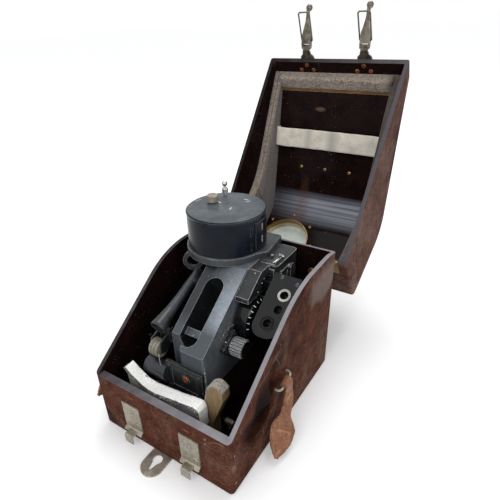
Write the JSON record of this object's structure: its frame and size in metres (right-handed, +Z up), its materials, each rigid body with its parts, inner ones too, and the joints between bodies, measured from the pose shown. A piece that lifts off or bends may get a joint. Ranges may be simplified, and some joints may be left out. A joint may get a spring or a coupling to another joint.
{
  "type": "instrument case",
  "caption": "Hinged laminate case with two toggle latches and a sloped telescoping lid, open, with its drum sextant stowed",
  "frame": {"origin": "on the ground under the middle of the front wall's outer face", "axes": "+X right-hand side of the case, +Y toward the hinge, +Z up"},
  "size_m": [0.2277, 0.4792, 0.4398],
  "materials": {
    "laminate": "gloss",
    "nickel": "brushed",
    "brass": "satin",
    "leather": "matte",
    "wood": "matte",
    "foam": "matte",
    "felt": "matte",
    "webbing": "matte",
    "frame_paint": "satin",
    "black_paint": "satin",
    "bright_metal": "satin",
    "ivory": "satin"
  },
  "bodies": {
    "base": {"base_shell": "laminate", "front_board": "laminate", "board_pins": "brass", "catch_plate_left": "nickel", "catch_plate_right": "nickel", "catch_rivets": "nickel", "hang_lug": "brass", "hang_lug_screws": "brass", "staple_left": "nickel", "staple_right": "nickel", "cradle_board": "wood", "cradle_foam": "foam", "side_block": "wood", "side_block_felt": "felt", "seat_block": "wood", "floor_stud": "brass", "hinge_packing": "wood", "hinge_leaf_base": "brass", "hinge_pin": "brass", "hinge_bolts": "brass"},
    "lid": {"lid_shell": "laminate", "lid_dome": "brass", "dome_screws": "brass", "rib_left": "wood", "rib_right": "wood", "front_batten": "wood", "gasket_felt": "felt", "web_strap": "webbing", "web_tacks": "brass", "panel_screws": "brass", "latch_bracket_left": "nickel", "latch_bracket_right": "nickel", "latch_rivets": "nickel", "latch_pins": "nickel", "hinge_leaf_lid": "brass", "hinge_rivets_lid": "brass"},
    "latch_lever_left": {"latch_lever_left": "nickel"},
    "latch_lever_right": {"latch_lever_right": "nickel"},
    "latch_bail_left": {"latch_bail_left": "nickel"},
    "latch_bail_right": {"latch_bail_right": "nickel"},
    "strap_tab_left": {"strap_tab_left": "leather"},
    "strap_tab_right": {"strap_tab_right": "leather"},
    "sextant": {"sextant_frame": "frame_paint", "drum_flange": "black_paint", "drum": "black_paint", "grip_ring": "bright_metal", "rear_casting": "black_paint", "knob_base": "black_paint", "eyepiece_housing": "black_paint", "eyepiece_rings": "brass", "lens_bracket": "black_paint", "side_tube": "black_paint", "lamp_tube": "black_paint", "front_cover": "frame_paint", "sextant_screws": "black_paint"},
    "drum_knob": {"drum_knob": "ivory"},
    "drum_plunger": {"drum_plunger": "bright_metal"},
    "index_dial": {"index_dial": "black_paint"},
    "index_knob": {"index_knob": "black_paint"},
    "lens_roller": {"lens_roller": "ivory"}
  },
  "joints": [
    {"name": "lid_hinge", "type": "hinge", "parent": "base", "child": "lid", "pos_m": [0, 0.2578, 0.1554], "axis": [-1, 0, 0], "range_deg": [-148, 0]},
    {"name": "latch_lever_right_pivot", "type": "hinge", "parent": "lid", "child": "latch_lever_right", "pos_m": [0.042, 0.42911, 0.3885], "axis": [1, 0, 0], "range_deg": [-142, 0]},
    {"name": "latch_lever_left_pivot", "type": "hinge", "parent": "lid", "child": "latch_lever_left", "pos_m": [-0.042, 0.42911, 0.3885], "axis": [1, 0, 0], "range_deg": [-143, 0]},
    {"name": "latch_bail_right_pivot", "type": "hinge", "parent": "latch_lever_right", "child": "latch_bail_right", "pos_m": [0.042, 0.42984, 0.39546], "axis": [-1, 0, 0], "range_deg": [-146.8, 20]},
    {"name": "latch_bail_left_pivot", "type": "hinge", "parent": "latch_lever_left", "child": "latch_bail_left", "pos_m": [-0.042, 0.42972, 0.39547], "axis": [-1, 0, 0], "range_deg": [-152.8, 20]},
    {"name": "strap_tab_right_swing", "type": "hinge", "parent": "base", "child": "strap_tab_right", "pos_m": [0.102, 0.103, 0.08325], "axis": [0, -0.9608, -0.2772], "range_deg": [0, 80]},
    {"name": "strap_tab_left_swing", "type": "hinge", "parent": "base", "child": "strap_tab_left", "pos_m": [-0.102, 0.103, 0.08325], "axis": [0, 0.9608, 0.2772], "range_deg": [0, 70]},
    {"name": "sextant_lift", "type": "slide", "parent": "base", "child": "sextant", "axis": [0, 0, 1], "range_m": [0, 0.22]},
    {"name": "drum_knob_turn", "type": "hinge", "parent": "sextant", "child": "drum_knob", "pos_m": [-0.046, 0.187, 0.238], "axis": [0, 0, 1], "continuous": true},
    {"name": "drum_plunger_press", "type": "slide", "parent": "sextant", "child": "drum_plunger", "axis": [0, 0, 1], "range_m": [-0.004, 0], "stiffness_N_per_m": 120, "springref_m": 0.002},
    {"name": "index_dial_turn", "type": "hinge", "parent": "sextant", "child": "index_dial", "pos_m": [0.03, 0.138, 0.126], "axis": [1, 0, 0], "continuous": true},
    {"name": "index_knob_turn", "type": "hinge", "parent": "sextant", "child": "index_knob", "pos_m": [0.034, 0.103, 0.1065], "axis": [1, 0, 0], "continuous": true},
    {"name": "lens_roller_turn", "type": "hinge", "parent": "sextant", "child": "lens_roller", "pos_m": [-0.042, 0.057, 0.104], "axis": [1, 0, 0], "continuous": true}
  ],
  "couplings": [
    {"joint": "index_knob_turn", "follows": "index_dial_turn", "ratio": -2.391}
  ]
}
